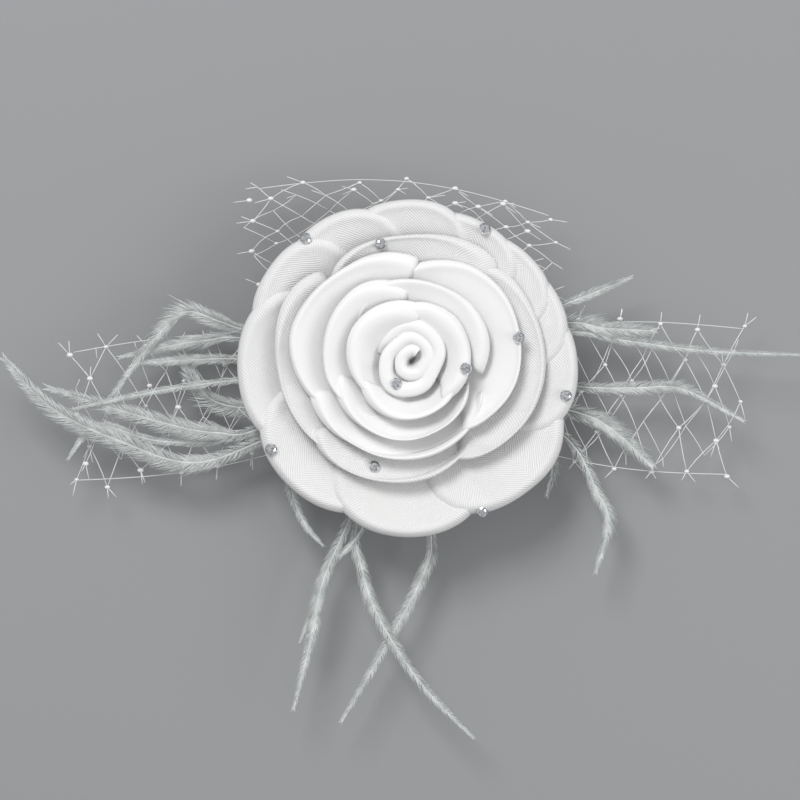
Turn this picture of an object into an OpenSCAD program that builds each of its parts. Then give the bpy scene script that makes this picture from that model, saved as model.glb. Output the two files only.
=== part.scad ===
// Rose hair clip: a fabric rose with net, feathers and stones on a sprung steel clip.
// Millimetres, +Z up. The origin is on the flat underside of the clip's lower arm,
// below the axis of the rose. The clip's jaws point along +X.

/* [Rose] */
// Outside diameter of the open rose
rose_d = 111.2; // [96:0.2:130]
// Height of the rolled bud above the rose's base disc
rose_h = 17.5; // [15:0.5:22]
// Thickness of the petal cloth
petal_t = 0.6; // [0.4:0.1:0.7]
// Spacing between two petals that overlap, centre to centre
petal_pitch = 1.15; // [1:0.05:1.3]
// How far a petal's corners are rounded off, as a share of its length
petal_round = 0.3; // [0.2:0.05:0.4]

/* [Trim] */
// Width of one rhinestone
stone_d = 4; // [3:0.1:5]
// Height of one rhinestone
stone_h = 1.6; // [1.2:0.1:2.2]
// Reach of the feathers, as a share of the drawn reach
feather_reach = 1; // [0.85:0.01:1.1]
// Thickness of a feather at its quill
feather_t = 0.3; // [0.2:0.05:0.35]
// Height step from one feather to the next in a bunch
feather_step = 0.5; // [0.45:0.05:0.6]
// Rise of a feather at the far end of the longest one
feather_rise = 5; // [2:0.5:8]
// Thickness of the net
net_t = 0.4; // [0.3:0.05:0.6]
// Share of a net cell that is strand
net_strand = 0.08; // [0.05:0.01:0.15]

/* [Backing] */
// Diameter of the felt disc
felt_d = 60; // [50:1:72]
// Thickness of the felt disc
felt_t = 2; // [1:0.1:3]
// Diameter of the glue core that holds the trim
core_d = 16; // [12:0.5:18]
// Diameter of the rose's base disc
base_d = 30; // [26:0.5:34]
// Thickness of the rose's base disc
base_t = 1.2; // [0.8:0.1:2]

/* [Clip] */
// Length of the clip
clip_l = 46; // [42:0.5:56]
// Width of the clip's upper arm over its ears
clip_w = 12.2; // [11.5:0.1:15]
// Thickness of the clip's steel
clip_t = 0.8; // [0.6:0.05:1]
// Height from the underside of the lower arm to the underside of the upper arm
clip_gap = 8; // [7.5:0.1:10]
// Diameter of the pivot pin
pin_d = 1.8; // [1.4:0.1:2.2]
// Diameter of the spring wire
wire_d = 0.6; // [0.4:0.05:0.7]

/* [Hidden] */
$fn = 48;

// Clearances shared by the fits
run_clear = 0.05;
side_clear = 0.3;
touch_clear = 0.1;
seat_clear = 0.3;

// Heights of the stack
plate_top = clip_gap + clip_t;
felt_z = plate_top;
felt_top = felt_z + felt_t;
net_z = felt_top + seat_clear;
feather_z = net_z + net_t + seat_clear + feather_t / 2;
left_count = 8;
base_z = feather_z + left_count * feather_step + seat_clear;
rose_z = base_z + base_t;
lower_z = felt_top + seat_clear + feather_t / 2;

// Colours
white = [0.95, 0.95, 0.95];
steel = [0.75, 0.76, 0.78];
dark_steel = [0.45, 0.46, 0.48];
crystal = [0.82, 0.86, 0.9];
plume = [0.8, 0.83, 0.82];

// Smooth curve through the points of a list, at position s counted in points
function along(p, s) = let(
    n = len(p), i = max(0, min(floor(s), n - 2)), t = s - i,
    a = p[max(i - 1, 0)], b = p[i], c = p[i + 1], d = p[min(i + 2, n - 1)])
  0.5 * (2 * b + (c - a) * t + (2 * a - 5 * b + 4 * c - d) * t * t
    + (3 * b - a - 3 * c + d) * t * t * t);

// Direction of that curve
function heading(p, s) = let(
    e = 0.02, last = len(p) - 1,
    d = along(p, min(s + e, last)) - along(p, max(s - e, 0)))
  d / norm(d);

// ---- Petals ----
// Each ring has a section of radius and height, the compass angle of each petal,
// the angle each one spans, and how far along the section each one reaches.
drawn_d = 111.2;
drawn_h = 17.5;
outer_section = [[9, 1.6], [20, 1.8], [32, 3.2], [44, 6], [51, 7.8], [54.6, 7.6], [55.6, 5.6]];
outer_at = [0, 25, 42, 64, 91, 119, 147, 181, 225, 270, 318];
outer_span = [66, 60, 56, 60, 64, 62, 64, 82, 78, 80, 84];
outer_reach = [1, 0.96, 0.98, 0.95, 1, 0.98, 0.99, 1, 0.98, 1, 1];
second_section = [[8, 3.2], [17, 4.8], [28, 7], [37, 9.6], [42.5, 11.2], [45.5, 11], [46.4, 9.4]];
second_at = [0, 90, 190, 262];
second_span = [125, 84, 115, 96];
second_reach = [1, 0.97, 0.98, 0.75];
third_section = [[7.5, 4.8], [15, 6.8], [24, 9.8], [32, 12.4], [36, 13.6], [38.5, 13.4], [39.3, 11.8]];
third_at = [25, 150, 268];
third_span = [150, 130, 150];
third_reach = [1, 1, 0.8];
fourth_section = [[6.8, 6.4], [12, 9], [18.5, 12.4], [23.5, 14.6], [27, 15.8], [29.3, 15.6], [30.2, 14]];
fourth_at = [70, 165, 265];
fourth_span = [150, 150, 160];
fourth_reach = [1, 1, 0.9];
inner_section = [[5.5, 8], [9.5, 11.2], [13, 14.4], [15.3, 16.4], [17, 17.4], [18.6, 17.2], [19.2, 16]];
inner_at = [40, 160, 280];
inner_span = [170, 170, 170];
inner_reach = [1, 0.97, 1];
petal_rows = 10;
petal_cols = 5;

// A section grown to the rose's size
function grown(section) = [for (q = section) [q[0] * rose_d / drawn_d, q[1] * rose_h / drawn_h]];

// Count of petals passed at a compass angle, used to fan the overlaps
function rank(at, a) = let(n = len(at))
  lookup(a, [for (k = [-2 : n + 1]) [at[(k + n) % n] + 360 * floor(k / n), k]]);

// Share of a petal's span that it covers at a distance u from its root
function spread(u) = 0.34 + 0.66 * pow(sin(90 * u), 0.8);

// A point of a petal, u from root to rim, v across, d above its middle surface
function petal_point(section, at, i, span, reach, u, v, d) = let(
    a = at[i] + v * span / 2 * spread(u),
    s = u * reach * (1 - petal_round * pow(abs(v), 3)) * (len(section) - 1),
    q = along(section, s), h = heading(section, s),
    lift = petal_pitch * (i - rank(at, a)) + d)
  [(q[0] - h[1] * lift) * cos(a), (q[0] - h[1] * lift) * sin(a), rose_z + q[1] + h[0] * lift];

// Faces of a closed shell between two grids of rows by cols points
function shell_faces(rows, cols) = let(m = rows * cols) concat(
  [for (k = [0 : rows - 2]) for (l = [0 : cols - 2])
    each [[k * cols + l, (k + 1) * cols + l + 1, (k + 1) * cols + l],
      [k * cols + l, k * cols + l + 1, (k + 1) * cols + l + 1]]],
  [for (k = [0 : rows - 2]) for (l = [0 : cols - 2])
    each [[m + k * cols + l, m + (k + 1) * cols + l, m + (k + 1) * cols + l + 1],
      [m + k * cols + l, m + (k + 1) * cols + l + 1, m + k * cols + l + 1]]],
  [for (k = [0 : rows - 2]) let(p = k * cols, q = (k + 1) * cols)
    each [[p, q, m + q], [p, m + q, m + p]]],
  [for (k = [0 : rows - 2]) let(p = (k + 2) * cols - 1, q = (k + 1) * cols - 1)
    each [[p, q, m + q], [p, m + q, m + p]]],
  [for (l = [0 : cols - 2]) let(p = l + 1, q = l)
    each [[p, q, m + q], [p, m + q, m + p]]],
  [for (l = [0 : cols - 2]) let(p = (rows - 1) * cols + l, q = p + 1)
    each [[p, q, m + q], [p, m + q, m + p]]]);

module petal(drawn, at, spans, reaches, number) {
  section = grown(drawn);
  i = number - 1;
  points = [for (side = [1, -1]) for (k = [0 : petal_rows]) for (l = [-petal_cols : petal_cols])
    petal_point(section, at, i, spans[i], reaches[i], k / petal_rows, l / petal_cols,
      side * petal_t / 2)];
  color(white) polyhedron(points, shell_faces(petal_rows + 1, 2 * petal_cols + 1), convexity = 6);
}

module outer_petal(number) petal(outer_section, outer_at, outer_span, outer_reach, number);
module second_petal(number) petal(second_section, second_at, second_span, second_reach, number);
module third_petal(number) petal(third_section, third_at, third_span, third_reach, number);
module fourth_petal(number) petal(fourth_section, fourth_at, fourth_span, fourth_reach, number);
module inner_petal(number) petal(inner_section, inner_at, inner_span, inner_reach, number);

module outer_petal_1() outer_petal(1);
module outer_petal_2() outer_petal(2);
module outer_petal_3() outer_petal(3);
module outer_petal_4() outer_petal(4);
module outer_petal_5() outer_petal(5);
module outer_petal_6() outer_petal(6);
module outer_petal_7() outer_petal(7);
module outer_petal_8() outer_petal(8);
module outer_petal_9() outer_petal(9);
module outer_petal_10() outer_petal(10);
module outer_petal_11() outer_petal(11);
module second_petal_1() second_petal(1);
module second_petal_2() second_petal(2);
module second_petal_3() second_petal(3);
module second_petal_4() second_petal(4);
module third_petal_1() third_petal(1);
module third_petal_2() third_petal(2);
module third_petal_3() third_petal(3);
module fourth_petal_1() fourth_petal(1);
module fourth_petal_2() fourth_petal(2);
module fourth_petal_3() fourth_petal(3);
module inner_petal_1() inner_petal(1);
module inner_petal_2() inner_petal(2);
module inner_petal_3() inner_petal(3);

// The rolled strip in the heart, tapering to its foot
bud_turns = 2.6;
bud_in = 2.2;
bud_out = 11.5;
bud_foot = 9.6;
bud_taper = 0.36;
bud_rows = 4;
bud_cols = 60;
function bud_point(u, v, d) = let(
    a = 360 * bud_turns * v, size = bud_taper + (1 - bud_taper) * pow(u, 0.8),
    r = (bud_in + (bud_out - bud_in) * v) * size * rose_d / drawn_d + d)
  [r * cos(a), r * sin(a), rose_z + (bud_foot + (drawn_h - bud_foot) * u) * rose_h / drawn_h];

module bud_roll() {
  points = [for (side = [-1, 1]) for (k = [0 : bud_rows]) for (l = [0 : bud_cols])
    bud_point(k / bud_rows, l / bud_cols, side * petal_t / 2)];
  color(white) polyhedron(points, shell_faces(bud_rows + 1, bud_cols + 1), convexity = 12);
}

module rose_base() {
  color(white) translate([0, 0, base_z]) cylinder(d = base_d, h = base_t);
}

module glue_core() {
  color([0.9, 0.88, 0.8]) translate([0, 0, felt_top]) cylinder(d = core_d, h = base_z - felt_top);
}

// ---- Rhinestones ----
module stone() {
  band = 0.35;
  cylinder(d = stone_d, h = stone_h * band);
  translate([0, 0, stone_h * band]) cylinder(d1 = stone_d, d2 = stone_d * 0.55, h = stone_h * (1 - band));
}

// A stone stands on a petal, u from root to rim and v across
module stone_on(drawn, at, spans, reaches, number, u, v) {
  section = grown(drawn);
  i = number - 1;
  low = petal_point(section, at, i, spans[i], reaches[i], u, v, petal_t / 2);
  high = petal_point(section, at, i, spans[i], reaches[i], u, v, petal_t / 2 + 1);
  n = high - low;
  translate(low + n * seat_clear)
    rotate([0, acos(n[2] / norm(n)), atan2(n[1], n[0])])
      stone();
}

module rhinestones() {
  bud_stone = 0.48;
  color(crystal) {
    stone_on(outer_section, outer_at, outer_span, outer_reach, 7, 0.78, -0.5);
    stone_on(second_section, second_at, second_span, second_reach, 2, 0.68, 0.34);
    stone_on(outer_section, outer_at, outer_span, outer_reach, 5, 0.82, -0.72);
    stone_on(third_section, third_at, third_span, third_reach, 1, 0.76, -0.2);
    stone_on(inner_section, inner_at, inner_span, inner_reach, 1, 0.78, -0.56);
    stone_on(outer_section, outer_at, outer_span, outer_reach, 1, 0.8, -0.35);
    stone_on(outer_section, outer_at, outer_span, outer_reach, 9, 0.85, -0.4);
    stone_on(second_section, second_at, second_span, second_reach, 4, 0.72, -0.24);
    stone_on(outer_section, outer_at, outer_span, outer_reach, 11, 0.88, -0.5);
    translate(bud_point(1, bud_stone, 0) + [0, 0, seat_clear]) stone();
  }
}

// ---- Net ----
// Corners of each net: two at the root, then two at the free edge
left_net = [[-18, 8], [-18, -20], [-112, -38], [-113, 5]];
right_net = [[18, -20], [18, 8], [112, 13], [107, -36]];
top_net = [[24, 17], [-24, 17], [-53, 59], [49, 51]];
left_bulge = 9;
right_bulge = 9;
top_bulge = 10;
left_bow = 1;
right_bow = 2;
top_bow = 7;

// A point of a net: s from root to free edge, t across, with bulging sides and a bowed free edge
function net_point(c, bulge, bow, s, t) = let(
    a = c[0] + (c[1] - c[0]) * t, b = c[3] + (c[2] - c[3]) * t, p = a + (b - a) * s,
    out = c[1] - c[0], f = sin(180 * s) * (2 * t - 1) / norm(out),
    far = b - a)
  p + out * f * bulge * 0.5 + far / norm(far) * bow * s * sin(180 * t);

module net(c, bulge, bow, cols, rows) {
  edge = 12;
  ds = 1 / cols;
  dt = 1 / (rows + 1);
  keep = 1 - net_strand;
  rim = concat(
    [for (k = [0 : edge - 1]) net_point(c, bulge, bow, k / edge, 0)],
    [for (k = [0 : edge - 1]) net_point(c, bulge, bow, 1, k / edge)],
    [for (k = [0 : edge - 1]) net_point(c, bulge, bow, 1 - k / edge, 1)],
    [for (k = [0 : edge - 1]) net_point(c, bulge, bow, 0, 1 - k / edge)]);
  cells = [for (r = [0 : rows - 1]) for (k = [0 : cols - 1 - r % 2])
    [(k + 0.5 + (r % 2) / 2) * ds, (r + 1) * dt]];
  holes = [for (q = cells) each [
    net_point(c, bulge, bow, q[0] - ds / 2 * keep, q[1]), net_point(c, bulge, bow, q[0], q[1] - dt * keep),
    net_point(c, bulge, bow, q[0] + ds / 2 * keep, q[1]), net_point(c, bulge, bow, q[0], q[1] + dt * keep)]];
  m = len(rim);
  paths = concat([[for (k = [0 : m - 1]) k]],
    [for (h = [0 : len(cells) - 1]) [for (k = [0 : 3]) m + 4 * h + k]]);
  color(white) translate([0, 0, net_z]) linear_extrude(net_t)
    polygon(concat(rim, holes), paths);
}

module net_left() net(left_net, left_bulge, left_bow, 8, 4);
module net_right() net(right_net, right_bulge, right_bow, 7, 4);
module net_top() net(top_net, top_bulge, top_bow, 4, 13);

// ---- Feathers ----
feather_far = 136;
feather_stations = 14;
bare_share = 0.25;
bare_width = 0.25;
function feather_width(t) = t < bare_share ? bare_width
  : max(0.2, bare_width + (1 - bare_width) * sin(180 * pow((t - bare_share) / (1 - bare_share), 0.7)));

function sweep_faces(stations, sides) = concat(
  [for (k = [1 : sides - 2]) [0, k, k + 1]],
  [for (s = [0 : stations - 2]) for (k = [0 : sides - 1])
    let(a = s * sides + k, b = s * sides + (k + 1) % sides)
      each [[a, a + sides, b + sides], [a, b + sides, b]]],
  [for (k = [1 : sides - 2]) let(e = (stations - 1) * sides) [e, e + k + 1, e + k]]);

module feather(path, half_width, z) {
  last = len(path) - 1;
  points = [for (k = [0 : feather_stations]) let(
      s = last * k / feather_stations, p = along(path, s) * feather_reach, h = heading(path, s),
      w = half_width * feather_width(k / feather_stations), side = [-h[1], h[0]] * w,
      lift = z + feather_rise * pow(norm(p) / feather_far, 2))
    each [[p[0] + side[0], p[1] + side[1], lift], [p[0], p[1], lift + feather_t / 2],
      [p[0] - side[0], p[1] - side[1], lift], [p[0], p[1], lift - feather_t / 2]]];
  color(plume) polyhedron(points, sweep_faces(feather_stations + 1, 4), convexity = 4);
}

module left_feather(level, half_width, path) {
  feather(path, half_width, feather_z + level * feather_step);
}

module lower_feather(level, half_width, path) {
  feather(path, half_width, lower_z + level * feather_step);
}

module feather_left_1() {
  left_feather(6, 3.3, [[-12, -6], [-50, -25], [-73, -32], [-96, -25], [-119, -14], [-135.3, 2.7]]);
}

module feather_left_2() {
  left_feather(5, 3, [[-13, -3], [-51, -21], [-64, -22], [-77, -20], [-98, -14], [-120.7, -7]]);
}

module feather_left_3() {
  left_feather(7, 1, [[-13, -1], [-56, -4.3], [-84, -8], [-112, -14]]);
}

module feather_left_4() {
  left_feather(3, 1.5, [[-13, 1], [-55.7, 2.7], [-74, 2.4], [-90.3, 1.3]]);
}

module feather_left_5() {
  left_feather(4, 2.5, [[-12, 4], [-52.7, 12], [-62.7, 15], [-74.3, 18.6], [-83, 12], [-100.3, -10.5]]);
}

module feather_left_6() {
  left_feather(2, 2, [[-12, 3], [-55.3, 9.7], [-67.3, 9], [-77.3, 7.7], [-96.7, 3.3]]);
}

module feather_left_7() {
  left_feather(1, 3, [[-12, -4], [-42, -12], [-56, -13.5], [-66, -11], [-72, -4.6], [-75.7, 3.2]]);
}

module feather_left_8() {
  left_feather(0, 1.2, [[-12, -7], [-50, -23], [-82, -25], [-101, -20], [-108.5, -23], [-114.1, -30.7]]);
}

module feather_right_1() {
  left_feather(6, 1.3, [[12, 6], [50.3, 20.3], [62, 25], [74.3, 30]]);
}

module feather_right_2() {
  left_feather(5, 2.8, [[12, 5], [50.3, 14.5], [66, 13], [82.3, 12.3]]);
}

module feather_right_3() {
  left_feather(4, 1.3, [[13, 2], [51, 11.5], [74, 8.6], [100.7, 5.4], [134, 4]]);
}

module feather_right_4() {
  left_feather(3, 2, [[13, 1], [55.7, -6.3], [75, -7], [91.7, -7.3], [112, -18]]);
}

module feather_right_5() {
  left_feather(2, 3, [[12, -4], [53.5, -14.3], [67.9, -20.7], [81.7, -33.4]]);
}

module feather_right_6() {
  left_feather(1, 2, [[12, -6], [50.3, -21.7], [63.7, -43], [66.7, -52.7], [62.7, -68.7]]);
}

module feather_right_7() {
  left_feather(0, 1.3, [[11, -8], [40, -24], [48, -32.3], [46.3, -43]]);
}

module feather_lower_1() {
  lower_feather(4, 1.3, [[-5, -11.4], [-30, -28], [-39.3, -37.7], [-35.7, -51.3], [-29, -59.7]]);
}

module feather_lower_2() {
  lower_feather(3, 2, [[-4, -12], [-19.3, -49.3], [-29, -72.3], [-32.7, -90.3], [-38.7, -114.7]]);
}

module feather_lower_3() {
  lower_feather(2, 1, [[-3, -12.4], [-14.7, -52], [-26, -66.3], [-31, -78], [-36.7, -92.3]]);
}

module feather_lower_4() {
  lower_feather(1, 2, [[-2, -12.6], [-17, -50], [-15.7, -68.3], [-9.7, -84.7], [4, -106], [21.7, -124.3]]);
}

module feather_lower_5() {
  lower_feather(0, 2, [[-0.8, -12.7], [7, -54], [5.3, -68.3], [-7, -92.3], [-22.7, -118.7]]);
}

// ---- Felt ----
module felt_backing() {
  color(white) translate([0, 0, felt_z]) cylinder(d = felt_d, h = felt_t, $fn = 96);
}

// ---- Clip ----
back_x = -22;
tip_x = back_x + clip_l;
pivot_x = -8;
pivot_z = clip_gap * 0.56;
arm_w = clip_w - 2 * clip_t - 2 * side_clear;
upper_ear_r = 3;
lower_ear_r = 2.6;
head_d = pin_d + 1.6;
head_t = 0.5;
bow_start = 10;
bow_step = 0.2;
bow_steps = 10;

module ear_shape(r, reach, hole_d) {
  difference() {
    union() {
      circle(r);
      translate([-r, min(0, reach)]) square([2 * r, abs(reach)]);
    }
    circle(d = hole_d);
  }
}

// An ear stands in the XZ plane, with its inner face at y
module ear(r, reach, hole_d, y) {
  translate([pivot_x, y + clip_t, pivot_z]) rotate([90, 0, 0])
    linear_extrude(clip_t) ear_shape(r, reach, hole_d);
}

module clip_top_plate() {
  reach = clip_gap + clip_t / 2 - pivot_z;
  color(steel) {
    translate([back_x, -clip_w / 2, clip_gap]) cube([clip_l, clip_w, clip_t]);
    ear(upper_ear_r, reach, pin_d, clip_w / 2 - clip_t);
    ear(upper_ear_r, reach, pin_d, -clip_w / 2);
  }
}

// Height of the lower arm's underside along its bowed front, pressed up one step from the flat
function bow(t) = bow_step + (clip_gap - touch_clear - clip_t - bow_step) * (1 - cos(90 * t));

module clip_lower_jaw() {
  reach = clip_t / 2 - pivot_z;
  bow_l = tip_x - bow_start;
  under = [for (k = [0 : bow_steps]) [bow_start + bow_l * k / bow_steps, bow(k / bow_steps)]];
  over = [for (k = [bow_steps : -1 : 0]) under[k] + [0, clip_t]];
  arm = concat([[back_x, 0], [bow_start, 0]], under, over, [[bow_start, clip_t], [back_x, clip_t]]);
  color(steel) {
    translate([0, arm_w / 2, 0]) rotate([90, 0, 0]) linear_extrude(arm_w) polygon(arm);
    ear(lower_ear_r, reach, pin_d + 2 * run_clear, arm_w / 2 - clip_t);
    ear(lower_ear_r, reach, pin_d + 2 * run_clear, -arm_w / 2);
  }
}

module pivot_pin() {
  color(dark_steel) translate([pivot_x, 0, pivot_z]) rotate([90, 0, 0]) {
    cylinder(d = pin_d, h = clip_w, center = true);
    for (side = [-1, 1])
      translate([0, 0, side * (clip_w + head_t) / 2]) cylinder(d = head_d, h = head_t, center = true);
  }
}

coil_r = 1.9;
coil_y = 3;
coil_turns = 4.5;
coil_steps = 54;
wire_sides = 6;
leg_x = -17;

// The wire runs from the upper leg, round the coil, to the lower leg
function wire_path() = let(
    top = [leg_x, coil_y, clip_gap - wire_d / 2 - touch_clear],
    low = [leg_x, -coil_y, clip_t + wire_d / 2 + touch_clear])
  concat([top], [for (k = [0 : coil_steps]) let(a = 90 - 360 * coil_turns * k / coil_steps)
    [pivot_x + coil_r * cos(a), coil_y - 2 * coil_y * k / coil_steps, pivot_z + coil_r * sin(a)]],
    [low]);

function unit(a) = a / norm(a);

module torsion_spring() {
  path = wire_path();
  n = len(path);
  points = [for (k = [0 : n - 1]) let(
      t = unit(path[min(k + 1, n - 1)] - path[max(k - 1, 0)]),
      u = unit([0, 1, 0] - t * t[1]), v = cross(t, u))
    each [for (j = [0 : wire_sides - 1]) let(a = 360 * j / wire_sides)
      path[k] + (u * cos(a) + v * sin(a)) * wire_d / 2]];
  color(dark_steel) polyhedron(points, sweep_faces(n, wire_sides), convexity = 10);
}

felt_backing();
clip_top_plate();
clip_lower_jaw();
pivot_pin();
torsion_spring();
glue_core();
rose_base();
outer_petal_1();
outer_petal_2();
outer_petal_3();
outer_petal_4();
outer_petal_5();
outer_petal_6();
outer_petal_7();
outer_petal_8();
outer_petal_9();
outer_petal_10();
outer_petal_11();
second_petal_1();
second_petal_2();
second_petal_3();
second_petal_4();
third_petal_1();
third_petal_2();
third_petal_3();
fourth_petal_1();
fourth_petal_2();
fourth_petal_3();
inner_petal_1();
inner_petal_2();
inner_petal_3();
bud_roll();
rhinestones();
net_left();
net_right();
net_top();
feather_left_1();
feather_left_2();
feather_left_3();
feather_left_4();
feather_left_5();
feather_left_6();
feather_left_7();
feather_left_8();
feather_right_1();
feather_right_2();
feather_right_3();
feather_right_4();
feather_right_5();
feather_right_6();
feather_right_7();
feather_lower_1();
feather_lower_2();
feather_lower_3();
feather_lower_4();
feather_lower_5();
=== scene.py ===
import math
import random

import bmesh
import bpy
import numpy as np
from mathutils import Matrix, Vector


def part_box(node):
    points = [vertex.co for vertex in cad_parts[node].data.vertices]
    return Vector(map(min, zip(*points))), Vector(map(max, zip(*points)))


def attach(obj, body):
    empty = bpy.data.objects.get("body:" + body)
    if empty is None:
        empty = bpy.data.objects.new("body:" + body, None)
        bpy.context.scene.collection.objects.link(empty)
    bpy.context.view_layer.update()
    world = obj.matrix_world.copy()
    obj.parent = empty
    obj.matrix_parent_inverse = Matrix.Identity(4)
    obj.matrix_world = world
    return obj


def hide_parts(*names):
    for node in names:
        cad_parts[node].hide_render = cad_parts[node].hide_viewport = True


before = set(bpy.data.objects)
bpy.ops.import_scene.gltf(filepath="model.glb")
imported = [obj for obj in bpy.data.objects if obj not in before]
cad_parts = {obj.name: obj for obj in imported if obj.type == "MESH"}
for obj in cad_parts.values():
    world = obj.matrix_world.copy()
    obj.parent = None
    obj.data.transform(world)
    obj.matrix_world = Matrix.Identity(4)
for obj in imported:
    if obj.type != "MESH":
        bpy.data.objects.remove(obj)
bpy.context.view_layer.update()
bpy.ops.object.select_all(action="DESELECT")
scene = bpy.context.scene
scene.view_settings.view_transform = "Standard"

# ---- Camera ----
# It looks straight down on the open face of the rose, from far enough away
# that the feathers round it keep their true reach.
camera_data = bpy.data.cameras.new("camera")
camera_data.sensor_width = 36
camera_height = 1.25
seen_width = 0.2667
camera_data.lens = 36 * (camera_height - 0.022) / seen_width
camera_data.clip_end = 10
camera = bpy.data.objects.new("camera", camera_data)
camera.location = (-0.003, -0.011, camera_height)
scene.collection.objects.link(camera)
scene.camera = camera

# ---- Steel clip ----
# Two arms pressed from nickel-plated spring steel, joined by a riveted pin.
# The upper arm is glued to the felt and the lower one swings on the pin.
steel = bpy.data.materials.new("nickel_plate")
steel.use_nodes = True
nt = steel.node_tree
shader = nt.nodes["Principled BSDF"]
shader.inputs["Base Color"].default_value = (0.66, 0.65, 0.63, 1)
shader.inputs["Metallic"].default_value = 1
spot = nt.nodes.new("ShaderNodeTexCoord")
stretch = nt.nodes.new("ShaderNodeMapping")
stretch.inputs["Scale"].default_value = (120, 2600, 2600)
grain = nt.nodes.new("ShaderNodeTexNoise")
grain.inputs["Scale"].default_value = 1
grain.inputs["Detail"].default_value = 4
rub = nt.nodes.new("ShaderNodeMapRange")
rub.inputs["To Min"].default_value = 0.2
rub.inputs["To Max"].default_value = 0.42
dent = nt.nodes.new("ShaderNodeBump")
dent.inputs["Strength"].default_value = 0.12
dent.inputs["Distance"].default_value = 0.0001
nt.links.new(spot.outputs["Object"], stretch.inputs["Vector"])
nt.links.new(stretch.outputs["Vector"], grain.inputs["Vector"])
nt.links.new(grain.outputs["Fac"], rub.inputs["Value"])
nt.links.new(rub.outputs["Result"], shader.inputs["Roughness"])
nt.links.new(grain.outputs["Fac"], dent.inputs["Height"])
nt.links.new(dent.outputs["Normal"], shader.inputs["Normal"])
for name in ("clip_top_plate", "clip_lower_jaw"):
    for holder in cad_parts[name].material_slots:
        holder.material = steel

# ---- Pin and spring ----
# A drawn steel pin headed over at both ends, and the coil of wire round it
# whose two legs push the arms' back ends apart.
wire_steel = steel.copy()
wire_steel.name = "drawn_steel"
wire_shader = wire_steel.node_tree.nodes["Principled BSDF"]
wire_shader.inputs["Base Color"].default_value = (0.42, 0.42, 0.43, 1)
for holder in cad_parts["pivot_pin"].material_slots:
    holder.material = wire_steel
pin_low, pin_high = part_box("pivot_pin")
pivot = (pin_low + pin_high) / 2
plate_low, plate_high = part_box("clip_top_plate")
jaw_low, jaw_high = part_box("clip_lower_jaw")
coil = bpy.data.curves.new("torsion_spring_wire", "CURVE")
coil.dimensions = "3D"
coil.bevel_depth = 0.0003
coil.bevel_resolution = 3
coil.use_fill_caps = True
turns, steps, radius, half = 4.5, 110, 0.0019, 0.003
route = [(-0.017, half, plate_high.z - 0.0012)]
for k in range(steps + 1):
    a = math.radians(90 - 360 * turns * k / steps)
    route.append((pivot.x + radius * math.cos(a), half - 2 * half * k / steps, pivot.z + radius * math.sin(a)))
route.append((-0.017, -half, jaw_low.z + 0.0012))
line = coil.splines.new("POLY")
line.points.add(len(route) - 1)
for point, place in zip(line.points, route):
    point.co = (*place, 1)
wire = bpy.data.objects.new("torsion_spring_wire", coil)
scene.collection.objects.link(wire)
wire.select_set(True)
bpy.context.view_layer.objects.active = wire
bpy.ops.object.convert(target="MESH")
wire.data.materials.clear()
wire.data.materials.append(wire_steel)
bpy.ops.object.shade_smooth_by_angle(angle=math.radians(40))
wire.select_set(False)
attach(wire, "flower")
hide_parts("torsion_spring")

# ---- Glue ----
# Hot glue holds the trim round the middle of the backing. It shows only from
# the side, as a slightly yellow waxy plug.
glue = bpy.data.materials.new("set_glue")
glue.use_nodes = True
nt = glue.node_tree
shader = nt.nodes["Principled BSDF"]
shader.inputs["Roughness"].default_value = 0.35
shader.inputs["Subsurface Weight"].default_value = 0.3
shader.inputs["Subsurface Radius"].default_value = (0.002, 0.0016, 0.001)
spot = nt.nodes.new("ShaderNodeTexCoord")
cloud = nt.nodes.new("ShaderNodeTexNoise")
cloud.inputs["Scale"].default_value = 300
tint = nt.nodes.new("ShaderNodeValToRGB")
tint.color_ramp.elements[0].color = (0.78, 0.74, 0.62, 1)
tint.color_ramp.elements[1].color = (0.88, 0.86, 0.78, 1)
dent = nt.nodes.new("ShaderNodeBump")
dent.inputs["Strength"].default_value = 0.5
dent.inputs["Distance"].default_value = 0.0004
nt.links.new(spot.outputs["Object"], cloud.inputs["Vector"])
nt.links.new(cloud.outputs["Fac"], tint.inputs["Fac"])
nt.links.new(tint.outputs["Color"], shader.inputs["Base Color"])
nt.links.new(cloud.outputs["Fac"], dent.inputs["Height"])
nt.links.new(dent.outputs["Normal"], shader.inputs["Normal"])
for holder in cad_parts["glue_core"].material_slots:
    holder.material = glue

# ---- Felt backing ----
# A disc cut by hand from white craft felt. The clip is glued below it and
# the net, feathers and rose above it.
felt = bpy.data.materials.new("craft_felt")
felt.use_nodes = True
nt = felt.node_tree
shader = nt.nodes["Principled BSDF"]
shader.inputs["Roughness"].default_value = 0.95
shader.inputs["Sheen Weight"].default_value = 0.4
shader.inputs["Sheen Roughness"].default_value = 0.6
spot = nt.nodes.new("ShaderNodeTexCoord")
hair = nt.nodes.new("ShaderNodeTexNoise")
hair.inputs["Scale"].default_value = 1800
hair.inputs["Detail"].default_value = 6
hair.inputs["Distortion"].default_value = 1.5
tint = nt.nodes.new("ShaderNodeValToRGB")
tint.color_ramp.elements[0].position = 0.3
tint.color_ramp.elements[0].color = (0.7, 0.7, 0.68, 1)
tint.color_ramp.elements[1].position = 0.7
tint.color_ramp.elements[1].color = (0.84, 0.84, 0.82, 1)
dent = nt.nodes.new("ShaderNodeBump")
dent.inputs["Strength"].default_value = 0.7
dent.inputs["Distance"].default_value = 0.0003
nt.links.new(spot.outputs["Object"], hair.inputs["Vector"])
nt.links.new(hair.outputs["Fac"], tint.inputs["Fac"])
nt.links.new(tint.outputs["Color"], shader.inputs["Base Color"])
nt.links.new(hair.outputs["Fac"], dent.inputs["Height"])
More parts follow.
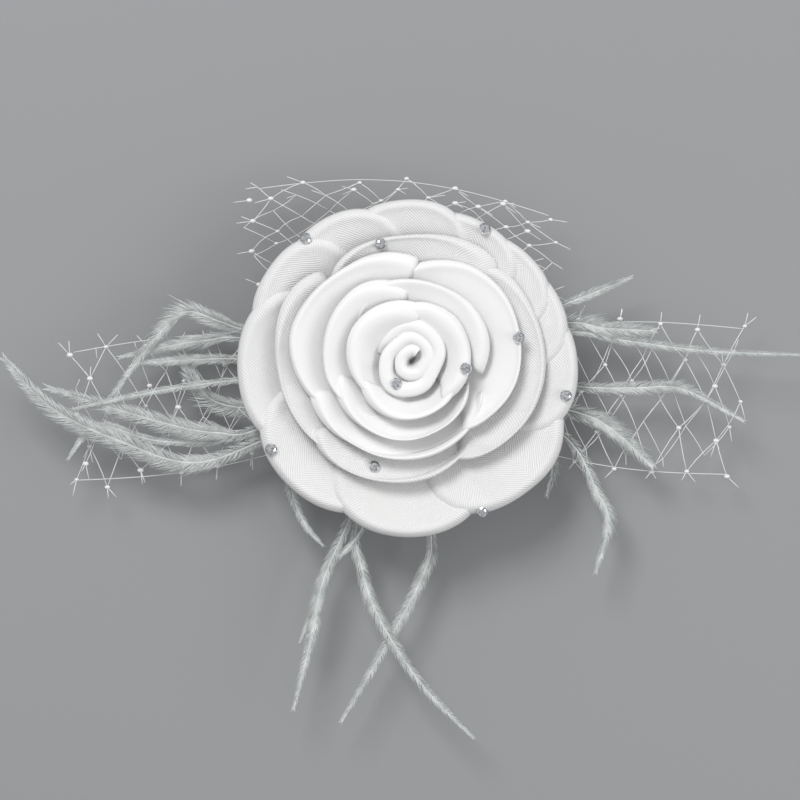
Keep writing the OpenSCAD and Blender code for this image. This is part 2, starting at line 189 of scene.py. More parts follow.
nt.links.new(dent.outputs["Normal"], shader.inputs["Normal"])


def cloth_disc(name, node, material, wobble):
    low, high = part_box(node)
    mid = (low + high) / 2
    size = (high.x - low.x) / 2
    thick = high.z - low.z
    bpy.ops.object.select_all(action="DESELECT")
    bpy.ops.mesh.primitive_cylinder_add(vertices=96, radius=size, depth=thick, location=mid)
    disc = bpy.context.object
    disc.name = name
    bpy.ops.object.transform_apply(location=True, rotation=True, scale=True)
    bpy.ops.object.mode_set(mode="EDIT")
    bpy.ops.mesh.select_mode(type="FACE")
    bpy.ops.mesh.select_all(action="DESELECT")
    work = bmesh.from_edit_mesh(disc.data)
    for face in work.faces:
        face.select_set(abs(face.normal.z) > 0.9)
    bmesh.update_edit_mesh(disc.data)
    for share in (0.96, 0.8, 0.6, 0.4, 0.2):
        bpy.ops.mesh.inset(thickness=size * (0.04 if share == 0.96 else 0.18))
    bpy.ops.object.mode_set(mode="OBJECT")
    for v in disc.data.vertices:
        r = math.hypot(v.co.x, v.co.y)
        a = math.atan2(v.co.y, v.co.x)
        snips = math.sin(3 * a + 1) + 0.6 * math.sin(7 * a + 2) + 0.4 * math.sin(12 * a)
        grow = 1 + wobble * snips * (r / size) ** 4
        v.co.x *= grow
        v.co.y *= grow
    bevel = disc.modifiers.new("edge", "BEVEL")
    bevel.width = thick * 0.3
    bevel.segments = 3
    bevel.limit_method = "ANGLE"
    bpy.ops.object.modifier_apply(modifier="edge")
    bpy.ops.object.shade_smooth_by_angle(angle=math.radians(50))
    disc.data.materials.clear()
    disc.data.materials.append(material)
    disc.select_set(False)
    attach(disc, "flower")
    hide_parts(node)
    return disc, size


felt_disc, felt_r = cloth_disc("felt_disc", "felt_backing", felt, 0.004)

# ---- Cloth ----
# Two finishes of the same white polyester: a ribbed twill on the open outer
# petals and a smoother satin face on the petals of the heart. In both, painted
# shade darkens the colour in the rib grooves.
def white_cloth(name, rib, strength, rough, painted_groove_shade, bright):
    cloth = bpy.data.materials.new(name)
    cloth.use_nodes = True
    nt = cloth.node_tree
    shader = nt.nodes["Principled BSDF"]
    shader.inputs["Roughness"].default_value = rough
    shader.inputs["Sheen Weight"].default_value = 0.25
    shader.inputs["Sheen Roughness"].default_value = 0.45
    shader.inputs["Specular IOR Level"].default_value = 0.35
    lay = nt.nodes.new("ShaderNodeUVMap")
    lay.uv_map = "cloth"
    parts = nt.nodes.new("ShaderNodeSeparateXYZ")
    fold = nt.nodes.new("ShaderNodeMath")
    fold.operation = "PINGPONG"
    fold.inputs[1].default_value = 0.016
    total = nt.nodes.new("ShaderNodeMath")
    total.operation = "ADD"
    slub = nt.nodes.new("ShaderNodeTexNoise")
    slub.inputs["Scale"].default_value = 260
    slub.inputs["Detail"].default_value = 3
    drift = nt.nodes.new("ShaderNodeMath")
    drift.operation = "MULTIPLY_ADD"
    drift.inputs[1].default_value = 0.0012
    turn = nt.nodes.new("ShaderNodeMath")
    turn.operation = "MULTIPLY"
    turn.inputs[1].default_value = 2 * math.pi / rib
    wave = nt.nodes.new("ShaderNodeMath")
    wave.operation = "SINE"
    thread = nt.nodes.new("ShaderNodeTexNoise")
    thread.inputs["Scale"].default_value = 2200
    thread.inputs["Detail"].default_value = 2
    mixed = nt.nodes.new("ShaderNodeMath")
    mixed.operation = "MULTIPLY_ADD"
    mixed.inputs[1].default_value = 0.8
    dent = nt.nodes.new("ShaderNodeBump")
    dent.inputs["Strength"].default_value = strength
    dent.inputs["Distance"].default_value = 0.00012
    # Colour follows the weave height: painted shade in the rib grooves, plus random thread tone from the
    # noise.
    tint = nt.nodes.new("ShaderNodeMapRange")
    tint.inputs["From Min"].default_value = -1
    tint.inputs["From Max"].default_value = 1.6
    tint.inputs["To Min"].default_value = painted_groove_shade
    tint.inputs["To Max"].default_value = bright
    link = nt.links.new
    link(lay.outputs["UV"], parts.inputs["Vector"])
    link(parts.outputs["X"], fold.inputs[0])
    link(fold.outputs["Value"], total.inputs[0])
    link(parts.outputs["Y"], total.inputs[1])
    link(lay.outputs["UV"], slub.inputs["Vector"])
    link(slub.outputs["Fac"], drift.inputs[0])
    link(total.outputs["Value"], drift.inputs[2])
    link(drift.outputs["Value"], turn.inputs[0])
    link(turn.outputs["Value"], wave.inputs[0])
    link(lay.outputs["UV"], thread.inputs["Vector"])
    link(thread.outputs["Fac"], mixed.inputs[0])
    link(wave.outputs["Value"], mixed.inputs[2])
    link(mixed.outputs["Value"], dent.inputs["Height"])
    link(dent.outputs["Normal"], shader.inputs["Normal"])
    link(mixed.outputs["Value"], tint.inputs["Value"])
    link(tint.outputs["Result"], shader.inputs["Base Color"])
    return cloth


twill = white_cloth("white_twill", 0.0011, 0.55, 0.7, 0.68, 0.84)
satin = white_cloth("white_satin", 0.0008, 0.14, 0.48, 0.8, 0.86)
base_disc, base_r = cloth_disc("rose_base_disc", "rose_base", felt, 0.01)

# ---- Petals ----
# Each petal is a doubled piece of cloth, gathered at its root, cupped and
# rolled over at its rim. They are sewn on in rings, each lapping the next.
rose_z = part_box("rose_base")[1].z * 1000
cloth_t = 0.5
lap = 1.15
root_share = 0.34
rings = {
    "outer": dict(
        section=[(9, 1.6), (20, 1.8), (32, 3.2), (42.5, 6), (49, 8), (53, 9), (55.8, 9.4)],
        at=[0, 25, 42, 64, 91, 119, 147, 181, 225, 270, 318],
        span=[66, 60, 56, 60, 64, 62, 64, 82, 78, 80, 84],
        reach=[1, 0.96, 0.98, 0.95, 1, 0.98, 0.99, 1, 0.98, 1, 1],
        rim=[
            (2, 56), (28, 55.2), (45, 54.4), (64, 54.4), (83, 55.6), (100, 55.4), (119, 57),
            (135, 57), (152, 57), (182, 57), (206, 56.6), (225, 56.4), (246, 55.6), (272, 56.6),
            (290, 56), (309, 56.4), (326, 58.6), (342, 56.4),
        ],
        roll=(5, 2.4), round=0.62, corner=2.4, swirl=0.01, cloth=twill, slot="petal_cloth"),
    "second": dict(
        section=[(8, 3.2), (17, 4.7), (28, 6.8), (36.5, 9), (42, 10.6), (45, 11.4), (46.4, 11.7)],
        at=[0, 90, 190, 262], span=[125, 84, 115, 96], reach=[1, 0.97, 0.98, 0.95],
        rim=[
            (0, 45.4), (25, 46.4), (45, 48), (70, 45), (90, 43.6), (120, 45.5), (150, 46.5),
            (180, 43.5), (215, 41.5), (240, 39.6), (262, 37.6), (295, 36), (320, 39), (340, 43),
        ],
        roll=(4.5, 2.4), round=0.34, corner=2.6, swirl=0.05, cloth=twill, slot="satin_cloth"),
    "third": dict(
        section=[(7.5, 4.7), (15, 6.6), (24, 9.5), (31.5, 12), (35.5, 13.2), (38.3, 13.9), (39.4, 14)],
        at=[25, 150, 268], span=[150, 130, 150], reach=[1, 1, 0.9],
        rim=[
            (-6, 35), (17, 38), (37, 40.5), (59, 41), (90, 38.5), (125, 38), (147, 40.5),
            (165, 42), (200, 37), (235, 31), (268, 29), (300, 29), (330, 31),
        ],
        roll=(4, 2.4), round=0.4, corner=2.2, swirl=0.07, cloth=satin, slot="satin_cloth"),
    "fourth": dict(
        section=[(6.8, 6.2), (12, 8.8), (18.5, 12), (23, 14.2), (26, 15.4), (28.8, 16.2), (30, 16.3)],
        at=[70, 165, 265], span=[150, 150, 160], reach=[1, 1, 0.96],
        rim=[
            (16, 28), (43, 28.4), (71, 28.6), (98, 30), (121, 31), (150, 30), (189, 28),
            (215, 25.6), (240, 24), (268, 23.6), (294, 23), (334, 26.5),
        ],
        roll=(3.8, 2.4), round=0.4, corner=2.2, swirl=0.075, cloth=satin, slot="satin_cloth"),
    "inner": dict(
        section=[(5.5, 7.8), (9.5, 11), (13, 14.2), (15.2, 16.2), (16.8, 17.3), (18.6, 17.9), (19.6, 17.9)],
        at=[40, 160, 280], span=[170, 170, 170], reach=[1, 0.97, 1],
        rim=[
            (0, 19.5), (45, 22.5), (75, 23), (110, 22.5), (150, 22.5), (173, 21), (204, 18.2),
            (235, 17.6), (270, 17.2), (303, 17.2), (336, 18.4),
        ],
        roll=(3.4, 2.2), round=0.36, corner=2.2, swirl=0.08, cloth=satin, slot="satin_cloth"),
}


def along(points, s):
    i = max(0, min(int(math.floor(s)), len(points) - 2))
    t = s - i
    a, b = points[max(i - 1, 0)], points[i]
    c, d = points[i + 1], points[min(i + 2, len(points) - 1)]
    return 0.5 * (2 * b + (c - a) * t + (2 * a - 5 * b + 4 * c - d) * t * t + (3 * b - a - 3 * c + d) * t**3)


def heading(points, s):
    last = len(points) - 1
    d = along(points, min(s + 0.02, last)) - along(points, max(s - 0.02, 0))
    return d / np.linalg.norm(d)


def rank(at, a):
    n = len(at)
    keys = [(at[k % n] + 360 * (k // n), k) for k in range(-2, n + 2)]
    return float(np.interp(a, [q[0] for q in keys], [q[1] for q in keys]))


def rim_radius(rim, a):
    keys = [(q + turn, r) for turn in (-360, 0, 360) for q, r in rim]
    q, r = [k[0] for k in keys], [k[1] for k in keys]
    return float(sum(np.interp(a + step, q, r) for step in (-5, 0, 5)) / 3)


def petal_grid(ring, i, rows, cols, seed):
    section = [np.array(q, float) for q in ring["section"]]
    last = len(section) - 1
    far = section[-1][0]
    width, deep = ring["roll"]
    chance = random.Random(seed)
    waves = [(chance.uniform(0.1, 0.24), chance.uniform(2, 5), chance.uniform(0, 6.3)) for _ in range(3)]
    skew = chance.uniform(-0.08, 0.08)
    grid = np.zeros((rows + 1, cols + 1, 3))
    for k in range(rows + 1):
        u = (k / rows) ** 0.9
        for l in range(cols + 1):
            v = 2 * l / cols - 1
            opened = root_share + (1 - root_share) * math.sin(math.pi / 2 * u) ** 0.8
            a = ring["at"][i] + v * ring["span"][i] / 2 * opened
            side = v + skew * (1 - v * v)
            cut = 1 - ring["round"] * abs(side) ** ring["corner"]
            s = min(u * ring["reach"][i] * cut, 1)
            q, h = along(section, s * last), heading(section, s * last)
            edge = (1 - u) * far * 0.9 * ring["reach"][i] * cut
            lift = lap * (i - rank(ring["at"], a))
            if edge < width:
                lift -= deep * (1 - edge / width) ** 2
            flank = (1 - abs(v)) * far * math.radians(ring["span"][i] / 2) * 0.8
            if flank < 3:
                lift -= 0.7 * (1 - flank / 3) ** 2
            lift += 0.4 * math.exp(-(((edge - width * 1.2) / 3) ** 2))
            lift += sum(amp * math.sin(count * v * 2 + phase) * u for amp, count, phase in waves) * 0.8
            lift += 0.22 * math.sin(11 * v + seed) * (1 - u) ** 2
            r = q[0] - h[1] * lift
            z = rose_z + q[1] + h[0] * lift
            z += 0.6 * math.sin(2 * math.radians(a) + len(ring["at"])) * s * s
            grid[k, l] = (r * math.cos(math.radians(a)), r * math.sin(math.radians(a)), z)
    for l in range(cols + 1):
        v = 2 * l / cols - 1
        side = v + skew * (1 - v * v)
        cut = 1 - ring["round"] * abs(side) ** ring["corner"]
        tip = along(section, min(ring["reach"][i] * cut, 1) * last)[0]
        aim = rim_radius(ring["rim"], ring["at"][i] + v * ring["span"][i] / 2)
        aim *= tip / far * (1 - ring["swirl"] * v)
        most = np.hypot(grid[:, l, 0], grid[:, l, 1]).max()
        grid[:, l, :2] *= 1 + (aim / most - 1) * (np.linspace(0, 1, rows + 1) ** 2)[:, None]
    return grid


def cloth_from_grid(name, grid, material, thick):
    rows, cols = grid.shape[0] - 1, grid.shape[1] - 1
    points = (grid.reshape(-1, 3) * 0.001).tolist()
    wide_row = cols + 1
    corners = [k * wide_row + l for k in range(rows) for l in range(cols)]
    faces = [(c, c + wide_row, c + wide_row + 1, c + 1) for c in corners]
    mesh = bpy.data.meshes.new(name)
    mesh.from_pydata(points, [], faces)
    down = np.cumsum(np.linalg.norm(np.diff(grid, axis=0), axis=2), axis=0)
    down = np.concatenate([np.zeros((1, cols + 1)), down])
    across = np.cumsum(np.linalg.norm(np.diff(grid, axis=1), axis=2), axis=1)
    across = np.concatenate([np.zeros((rows + 1, 1)), across], axis=1)
    across = across - across[:, cols // 2 : cols // 2 + 1]
    lay = mesh.uv_layers.new(name="cloth")
    flat_u, flat_v = (across * 0.001).reshape(-1), (down * 0.001).reshape(-1)
    for loop in mesh.loops:
        lay.data[loop.index].uv = (flat_u[loop.vertex_index], flat_v[loop.vertex_index])
    d1 = grid[1:, 1:] - grid[:-1, :-1]
    d2 = grid[1:, :-1] - grid[:-1, 1:]
    area = 0.5e-6 * float(np.linalg.norm(np.cross(d1, d2), axis=2).sum())
    wide = 0.001 * float((across[:, -1] - across[:, 0]).max())
    long = 0.001 * float(down[-1].max())
    piece = bpy.data.objects.new(name, mesh)
    scene.collection.objects.link(piece)
    bpy.ops.object.select_all(action="DESELECT")
    piece.select_set(True)
    bpy.context.view_layer.objects.active = piece
    wall = piece.modifiers.new("wall", "SOLIDIFY")
    wall.thickness = thick * 0.001
    wall.offset = 0
    wall.use_even_offset = False
    bpy.ops.object.modifier_apply(modifier="wall")
    bpy.ops.object.shade_smooth()
    piece.data.materials.append(material)
    piece.select_set(False)
    return piece, wide, long, area


surface = []
for ring_name, ring in rings.items():
    for i in range(len(ring["at"])):
        grid = petal_grid(ring, i, 36, 44, len(surface) * 7 + 3)
        name = f"{ring_name}_petal_{i + 1}"
        piece, wide, long, area = cloth_from_grid(name + "_cloth", grid, ring["cloth"], cloth_t)
        surface.append((name, grid))
        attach(piece, "flower")
        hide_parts(name)

# ---- Bud ----
# One long doubled strip rolled up tight, pinched at its foot, with its top
# fold opened outwards so that it reads as a loose coil from above.
bud_low, bud_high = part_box("bud_roll")
bud_turns, bud_in, bud_out = 2.3, 1.2, 11.8
bud_rows, bud_cols = 22, 190
bud = np.zeros((bud_rows + 1, bud_cols + 1, 3))
for k in range(bud_rows + 1):
    u = k / bud_rows
    for l in range(bud_cols + 1):
        v = l / bud_cols
        a = 2 * math.pi * bud_turns * v + 0.9
        size = 0.42 + 0.58 * u**0.8
        r = bud_in + (bud_out - bud_in) * v
        r *= 1 + 0.13 * math.cos(2 * (a - 1.05)) + 0.03 * math.sin(5 * a)
        r = r * size + 2.6 * max(0, (u - 0.66) / 0.34) ** 2
        drop = 2 * max(0, (u - 0.78) / 0.22) ** 2
        tuck = 4.5 * max(0, (v - 0.88) / 0.12) ** 2
        z = bud_low.z * 1000 + (bud_high.z - bud_low.z) * 1000 * u - drop + 0.5 * math.sin(a + 1) * u
        z -= (1.2 * (1 - v) + tuck) * u
        bud[k, l] = (r * math.cos(a) - 0.9 + 2.2 * (1 - v), r * math.sin(a) + 1.2 + 1.6 * (1 - v), z)
bud_cloth, wide, long, area = cloth_from_grid("bud_roll_cloth", bud, satin, 1.3)
surface.append(("bud_roll", bud))
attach(bud_cloth, "flower")
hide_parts("bud_roll")
area = min(area, wide * long)

# ---- Rhinestones ----
# Small cut glass stones with foiled backs, glued one by one to the petals.
# Each has a flat table, a ring of crown facets and a dark silvery girdle.
# Their sparkle is painted: random bright glints and dark reflections in the colour.
glass = bpy.data.materials.new("cut_glass")
glass.use_nodes = True
nt = glass.node_tree
shader = nt.nodes["Principled BSDF"]
shader.inputs["Metallic"].default_value = 1
shader.inputs["Coat Weight"].default_value = 1
shader.inputs["Coat Roughness"].default_value = 0.02
shader.inputs["Roughness"].default_value = 0.06
spot = nt.nodes.new("ShaderNodeTexCoord")
# Painted reflection: random cells of dark, grey-blue and bright colour stand in for glints and dark facets.
painted_glint_cells = nt.nodes.new("ShaderNodeTexVoronoi")
painted_glint_cells.inputs["Scale"].default_value = 1500
tint = nt.nodes.new("ShaderNodeValToRGB")
tint.color_ramp.elements[0].color = (0.3, 0.31, 0.34, 1)
tint.color_ramp.elements[1].color = (0.95, 0.96, 0.98, 1)
tint.color_ramp.elements.new(0.5).color = (0.72, 0.75, 0.79, 1)
nt.links.new(spot.outputs["Object"], painted_glint_cells.inputs["Vector"])
nt.links.new(painted_glint_cells.outputs["Color"], tint.inputs["Fac"])
nt.links.new(tint.outputs["Color"], shader.inputs["Base Color"])


def stone_mesh(name):
    bpy.ops.object.select_all(action="DESELECT")
    bpy.ops.mesh.primitive_cylinder_add(vertices=12, radius=0.002, depth=0.0006, location=(0, 0, 0.0003))
    stone = bpy.context.object
    stone.name = name
    bpy.ops.object.transform_apply(location=True, rotation=True, scale=True)
    bpy.ops.object.mode_set(mode="EDIT")
    bpy.ops.mesh.select_mode(type="FACE")
    for rise, size, twist in ((0.0005, 0.82, 15), (0.0004, 0.7, 15)):
        bpy.ops.mesh.select_all(action="DESELECT")
        work = bmesh.from_edit_mesh(stone.data)
        top = max(work.faces, key=lambda f: f.calc_center_median().z)
        top.select_set(True)
        bmesh.update_edit_mesh(stone.data)
        bpy.ops.mesh.extrude_region_move(TRANSFORM_OT_translate={"value": (0, 0, rise)})
        bpy.ops.transform.resize(value=(size, size, 1))
        bpy.ops.transform.rotate(value=math.radians(twist), orient_axis="Z", center_override=(0, 0, 0))
    bpy.ops.mesh.select_all(action="SELECT")
    bpy.ops.mesh.quads_convert_to_tris()
    bpy.ops.object.mode_set(mode="OBJECT")
    stone.data.materials.clear()
    stone.data.materials.append(glass)
    stone.select_set(False)
    return stone


heights, slopes = [], []
for _, grid in surface:
    du, dv = np.gradient(grid, axis=0), np.gradient(grid, axis=1)
    n = np.cross(du, dv)
    n /= np.linalg.norm(n, axis=2, keepdims=True) + 1e-9
    heights.append(grid.reshape(-1, 3))
    slopes.append(n.reshape(-1, 3))
heights, slopes = np.concatenate(heights), np.concatenate(slopes)
stone_spots = [
    (-35.2, 42.6), (-9, 40), (25, 45.2), (35.7, 10.6), (19.7, -0.7),
    (-4.3, -4.7), (51.4, -10), (-45.6, -27.4), (-11, -32.7), (25.4, -48.6),
]
first_stone = stone_mesh("rhinestone_1")
uncut_stone = first_stone.data.copy()
for number, (x, y) in enumerate(stone_spots, 1):
    if number == 1:
        stone = first_stone
    else:
        stone = bpy.data.objects.new(f"rhinestone_{number}", uncut_stone.copy())
        scene.collection.objects.link(stone)
    near = np.hypot(heights[:, 0] - x, heights[:, 1] - y) < 1.3
    pick = np.argmax(np.where(near, heights[:, 2], -1e9))
    n = slopes[pick] if slopes[pick][2] > 0 else -slopes[pick]
    n = n + np.array([0, 0, 0.6])
    n = Vector(n.tolist()).normalized()
    turn = Vector((0, 0, 1)).rotation_difference(n).to_matrix()
    for v in stone.data.vertices:
        v.co = turn @ v.co + (Vector(heights[pick].tolist()) + n * (cloth_t / 2 + 0.1)) * 0.001
    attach(stone, "flower")
    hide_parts("rhinestones")

# ---- Net ----
# Veiling net of thin nylon strands knotted into tall diamonds. Two layers are
# gathered under the rose at each side and above it, with cut loose ends.
thread = bpy.data.materials.new("nylon_net")
thread.use_nodes = True
nt = thread.node_tree
shader = nt.nodes["Principled BSDF"]
shader.inputs["Roughness"].default_value = 0.5
shader.inputs["Sheen Weight"].default_value = 0.3
spot = nt.nodes.new("ShaderNodeTexCoord")
ply = nt.nodes.new("ShaderNodeTexNoise")
ply.inputs["Scale"].default_value = 1500
tint = nt.nodes.new("ShaderNodeMapRange")
tint.inputs["To Min"].default_value = 0.74
tint.inputs["To Max"].default_value = 0.9
dent = nt.nodes.new("ShaderNodeBump")
dent.inputs["Strength"].default_value = 0.4
dent.inputs["Distance"].default_value = 0.0001
nt.links.new(spot.outputs["Object"], ply.inputs["Vector"])
nt.links.new(ply.outputs["Fac"], tint.inputs["Value"])
nt.links.new(tint.outputs["Result"], shader.inputs["Base Color"])
nt.links.new(ply.outputs["Fac"], dent.inputs["Height"])
nt.links.new(dent.outputs["Normal"], shader.inputs["Normal"])


class Strands:
    def __init__(self):
        self.points, self.faces = [], []

    def tube(self, route, radii, sides=4):
        start = len(self.points)
        route = [np.array(p, float) for p in route]
        for k, p in enumerate(route):
            d = route[min(k + 1, len(route) - 1)] - route[max(k - 1, 0)]
            d = d / (np.linalg.norm(d) + 1e-9)
            side = np.cross(d, (0, 0, 1.0) if abs(d[2]) < 0.9 else (1.0, 0, 0))
            side /= np.linalg.norm(side)
            up = np.cross(side, d)
            for j in range(sides):
                a = 2 * math.pi * j / sides
                self.points.append(p + radii[k] * (side * math.cos(a) - up * math.sin(a)))
        for k in range(len(route) - 1):
            for j in range(sides):
                a, b = start + k * sides + j, start + k * sides + (j + 1) % sides
                self.faces.append((a, b, b + sides, a + sides))
        self.faces.append(tuple(start + j for j in reversed(range(sides))))
        self.faces.append(tuple(start + (len(route) - 1) * sides + j for j in range(sides)))

    def make(self, name, material):
        mesh = bpy.data.meshes.new(name)
        mesh.from_pydata([tuple(p * 0.001) for p in self.points], [], self.faces)
        piece = bpy.data.objects.new(name, mesh)
        scene.collection.objects.link(piece)
        mesh.materials.append(material)
        mesh.shade_smooth()
        return piece


def net_place(net, s, t):
    c = [np.array(q, float) for q in net["corners"]]
    a = c[0] + (c[1] - c[0]) * t
    b = c[3] + (c[2] - c[3]) * t
    out = c[1] - c[0]
    far = (b - a) / np.linalg.norm(b - a) * net["bow"] * s * math.sin(math.pi * min(max(t, 0), 1))
    belly = out / np.linalg.norm(out) * math.sin(math.pi * s) * (2 * t - 1) * net["bulge"] * 0.5
    return a + (b - a) * s + belly + far


def net_layer(work, net, z, seed, start, shift, strand, keep):
    cols, rows = net["cols"], net["rows"]
    chance = random.Random(seed)
    place = {}
    for i in range(2 * cols + 1):
        for j in range(rows + 1):
            if (i + j) % 2:
                continue
            s, t = i / (2 * cols) + shift[0], j / rows + shift[1]
            if s < start or s > 1.02 or t > 1.02:
                continue
            p = net_place(net, s, t)
            p = p + np.array([chance.gauss(0, 1), chance.gauss(0, 1)]) * 0.9
            rise = chance.gauss(0, 0.5) + 1.4 * math.sin(5 * s + seed) * math.sin(4 * t + seed)
            place[i, j] = np.array([p[0], p[1], z + rise])
    for (i, j), p in place.items():
        for other in ((i + 1, j + 1), (i + 1, j - 1)):
            if other in place and chance.random() < keep + 0.35:
                q = place[other]
                sag = np.array([chance.gauss(0, 0.35), chance.gauss(0, 0.35), chance.gauss(0, 0.3)])
                work.tube([p, p * 0.65 + q * 0.35 + sag, p * 0.35 + q * 0.65 + sag, q], [strand] * 4)
        if chance.random() < 0.9 * keep:
            size = chance.uniform(0.5, 0.78)
            knot = [p + (size * 1.3 * end, 0, 0) if abs(end) == 1 else p + (size * 1.2 * end, 0, 0.1)
                    for end in (-1, -0.5, 0.5, 1)]
            work.tube(knot, [size * 0.5, size, size, size * 0.45], 6)
        if j in (0, rows) or i >= 2 * cols - 1:
            for fan in (-0.35, 0.35):
                if chance.random() < 0.75:
                    ahead = 0.04 if i >= 2 * cols - 1 else fan * 0.05
                    beyond = 0.5 + 0.6 * (1 if j > rows / 2 else -1)
                    out = net_place(net, min(1.03, i / (2 * cols) + ahead), beyond) - p[:2]
                    out = out / (np.linalg.norm(out) + 1e-9) * chance.uniform(2.5, 5.5)
                    turn = np.array([out[0] - fan * out[1], out[1] + fan * out[0]])
                    bent = p + (turn[0] * 0.6, turn[1] * 0.6, 0.3)
                    work.tube([p, bent, p + (turn[0], turn[1], 0)], [strand] * 3)


side_edges = [(np.array([0.25, t]), np.array([1.0, t])) for t in (0, 1)]
far_edge = [(np.array([1.0, 0.0]), np.array([1.0, 1.0]))]
nets = {
    "net_left": dict(corners=[(-18, 8), (-18, -20), (-112, -38), (-113, 5)],
                     bulge=9, cols=8, rows=4, bow=1, edges=side_edges),
    "net_right": dict(corners=[(18, -20), (18, 8), (112, 13), (107, -36)],
                     bulge=9, cols=7, rows=4, bow=2, edges=side_edges),
    "net_top": dict(corners=[(34, 8), (-36, 8), (-51, 60), (47, 51)],
                     bulge=16, cols=5, rows=12, bow=7, edges=far_edge),
}
for number, (name, net) in enumerate(nets.items()):
    low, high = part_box(name)
    level = (low.z + high.z) * 500
    work = Strands()
    net_layer(work, net, level, 5 + number, 0.1, (0, 0), 0.15, 1)
    net_layer(work, net, level + 0.9, 25 + number, 0.1, (0.03, 0.09), 0.13, 0.55)
    for start, end in net["edges"]:
        edge = [net_place(net, *(start + (end - start) * k / 30)) for k in range(31)]
        work.tube([(p[0], p[1], level + 0.4 * math.sin(k)) for k, p in enumerate(edge)], [0.14] * 31)
    piece = work.make(name + "_strands", thread)
    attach(piece, "flower")
    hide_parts(name)

# ---- Feathers ----
# Thin stripped feathers, each a pale quill with short matted barbs that lean
# to its tip. They are glued in bunches between the backing and the rose.
plume = bpy.data.materials.new("feather_barbs")
plume.use_nodes = True
nt = plume.node_tree
shader = nt.nodes["Principled BSDF"]
shader.inputs["Roughness"].default_value = 0.65
shader.inputs["Sheen Weight"].default_value = 0.5
shader.inputs["Sheen Roughness"].default_value = 0.3
shader.inputs["Transmission Weight"].default_value = 0.05
spot = nt.nodes.new("ShaderNodeTexCoord")
patch = nt.nodes.new("ShaderNodeTexNoise")
patch.inputs["Scale"].default_value = 220
patch.inputs["Detail"].default_value = 5
tint = nt.nodes.new("ShaderNodeValToRGB")
tint.color_ramp.elements[0].position = 0.3
tint.color_ramp.elements[0].color = (0.56, 0.6, 0.59, 1)
tint.color_ramp.elements[1].position = 0.7
tint.color_ramp.elements[1].color = (0.82, 0.85, 0.84, 1)
nt.links.new(spot.outputs["Object"], patch.inputs["Vector"])
nt.links.new(patch.outputs["Fac"], tint.inputs["Fac"])
nt.links.new(tint.outputs["Color"], shader.inputs["Base Color"])
feathers = {
    "left_1": (3.3, [(-12, -6), (-50, -25), (-73, -32), (-96, -25), (-119, -14), (-135.3, 2.7)]),
    "left_2": (3, [(-13, -3), (-51, -21), (-64, -22), (-77, -20), (-98, -14), (-120.7, -7)]),
    "left_3": (1, [(-13, -1), (-56, -4.3), (-84, -8), (-112, -14)]),
    "left_4": (1.5, [(-13, 1), (-55.7, 2.7), (-74, 2.4), (-90.3, 1.3)]),
    "left_5": (2.5, [(-12, 4), (-52.7, 12), (-62.7, 15), (-74.3, 18.6), (-83, 12), (-100.3, -10.5)]),
    "left_6": (2, [(-12, 3), (-55.3, 9.7), (-67.3, 9), (-77.3, 7.7), (-96.7, 3.3)]),
    "left_7": (3, [(-12, -4), (-42, -12), (-56, -13.5), (-66, -11), (-72, -4.6), (-75.7, 3.2)]),
    "left_8": (1.2, [(-12, -7), (-50, -23), (-82, -25), (-101, -20), (-108.5, -23), (-114.1, -30.7)]),
    "right_1": (1.3, [(12, 6), (50.3, 20.3), (62, 25), (74.3, 30)]),
    "right_2": (2.8, [(12, 5), (50.3, 14.5), (66, 13), (82.3, 12.3)]),
    "right_3": (1.3, [(13, 2), (51, 11.5), (74, 8.6), (100.7, 5.4), (134, 4)]),
    "right_4": (2, [(13, 1), (55.7, -6.3), (75, -7), (91.7, -7.3), (112, -18)]),
    "right_5": (3, [(12, -4), (53.5, -14.3), (67.9, -20.7), (81.7, -33.4)]),
    "right_6": (2, [(12, -6), (50.3, -21.7), (63.7, -43), (66.7, -52.7), (62.7, -68.7)]),
    "right_7": (1.3, [(11, -8), (40, -24), (48, -32.3), (46.3, -43)]),
    "lower_1": (1.3, [(-5, -11.4), (-30, -28), (-39.3, -37.7), (-35.7, -51.3), (-29, -59.7)]),
    "lower_2": (2, [(-4, -12), (-19.3, -49.3), (-29, -72.3), (-32.7, -90.3), (-38.7, -114.7)]),
    "lower_3": (1, [(-3, -12.4), (-14.7, -52), (-26, -66.3), (-31, -78), (-36.7, -92.3)]),
    "lower_4": (2, [(-2, -12.6), (-17, -50), (-15.7, -68.3), (-9.7, -84.7), (4, -106), (21.7, -124.3)]),
    "lower_5": (2, [(-0.8, -12.7), (7, -54), (5.3, -68.3), (-7, -92.3), (-22.7, -118.7)]),
}
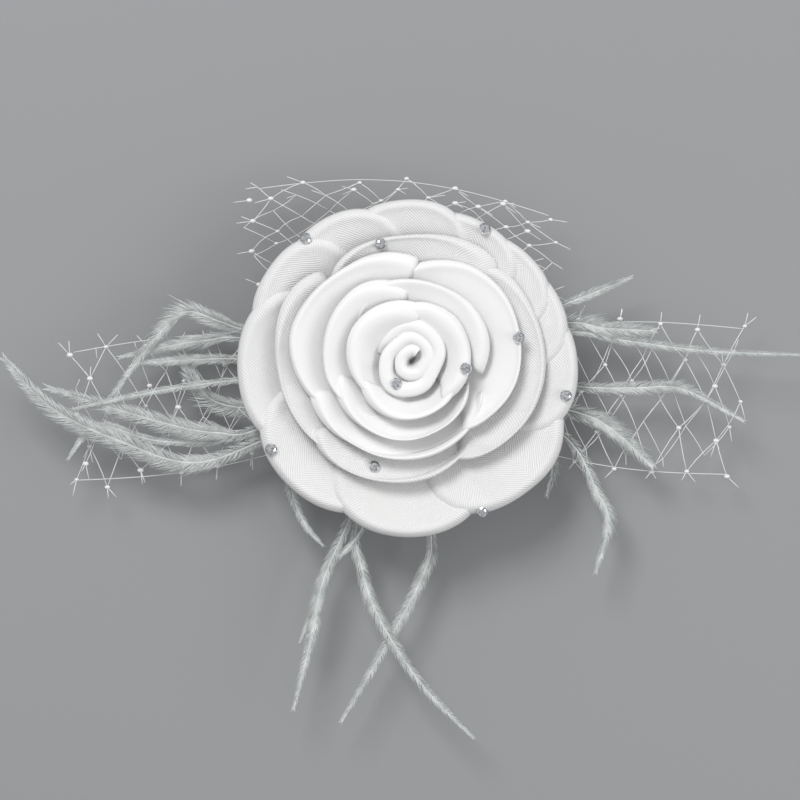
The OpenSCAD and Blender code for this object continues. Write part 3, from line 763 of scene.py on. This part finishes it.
for number, (name, (wide, path)) in enumerate(feathers.items()):
    node = "feather_" + name
    low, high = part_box(node)
    path = [np.array(p, float) for p in path]
    last = len(path) - 1
    root = np.linalg.norm(path[0])
    chance = random.Random(100 + number)

    def spine(t):
        p = along(path, t * last)
        return np.array([p[0], p[1], low.z * 1000 + 0.15 + 5 * (np.linalg.norm(p) ** 2 - root**2) / 136**2])

    line = [spine(k / 40) for k in range(41)]
    length = sum(np.linalg.norm(b - a) for a, b in zip(line, line[1:]))
    work = Strands()
    work.tube(line, [0.36 * (1 - 0.75 * k / 40) for k in range(41)], 6)
    count = int(length / 0.33)
    for k in range(count):
        t = (k + 0.5) / count
        if t < 0.16:
            continue
        grow = max(0.3, math.sin(math.pi * min(1, (t - 0.1) / 0.9) ** 0.85) ** 0.6)
        p = spine(t)
        h = spine(min(t + 0.01, 1)) - spine(max(t - 0.01, 0))
        h /= np.linalg.norm(h)
        for sign in (-1, 1):
            lean = math.radians(chance.gauss(34, 7))
            reach = (wide * 1.15 + 0.5) * grow / math.sin(lean) * chance.uniform(0.7, 1.15)
            side = np.array([-h[1], h[0], 0]) * sign
            out = h * math.cos(lean) + side * math.sin(lean)
            tipward = h * math.cos(lean * 0.45) + side * math.sin(lean * 0.45)
            high_off = np.array([0, 0, chance.gauss(0, 0.16)])
            mid = p + out * reach * 0.5 + high_off
            tip = mid + (tipward * 0.6 + out * 0.4) * reach * 0.5 + high_off
            work.tube([p, mid, tip], [0.13, 0.12, 0.03], 3)
    piece = work.make(node + "_plume", plume)
    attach(piece, "flower")
    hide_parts(node)

# ---- Floor and light ----
# A plain pale grey table, a broad soft lamp from the upper left and a weaker
# one from the right.
bpy.ops.object.select_all(action="DESELECT")
bpy.ops.mesh.primitive_plane_add(size=8, location=(0, 0, -0.0002))
floor = bpy.context.object
floor.name = "floor"
table = bpy.data.materials.new("pale_table")
table.use_nodes = True
nt = table.node_tree
shader = nt.nodes["Principled BSDF"]
shader.inputs["Base Color"].default_value = (0.3, 0.305, 0.315, 1)
shader.inputs["Roughness"].default_value = 0.9
shader.inputs["Specular IOR Level"].default_value = 0.1
floor.data.materials.append(table)
floor.select_set(False)


def lamp(name, place, aim, size, power):
    data = bpy.data.lights.new(name, "AREA")
    data.shape = "DISK"
    data.size = size
    data.energy = power
    item = bpy.data.objects.new(name, data)
    item.location = place
    item.rotation_euler = (Vector(aim) - Vector(place)).to_track_quat("-Z", "Y").to_euler()
    scene.collection.objects.link(item)


lamp("key_lamp", (-0.5, 0.9, 1.2), (0, 0, 0.02), 0.7, 15)
lamp("side_lamp", (1.1, -0.2, 0.8), (0, 0, 0.02), 0.8, 6)
world = bpy.data.worlds.new("studio")
world.use_nodes = True
world.node_tree.nodes["Background"].inputs["Color"].default_value = (1, 1, 1, 1)
world.node_tree.nodes["Background"].inputs["Strength"].default_value = 0.52
scene.world = world
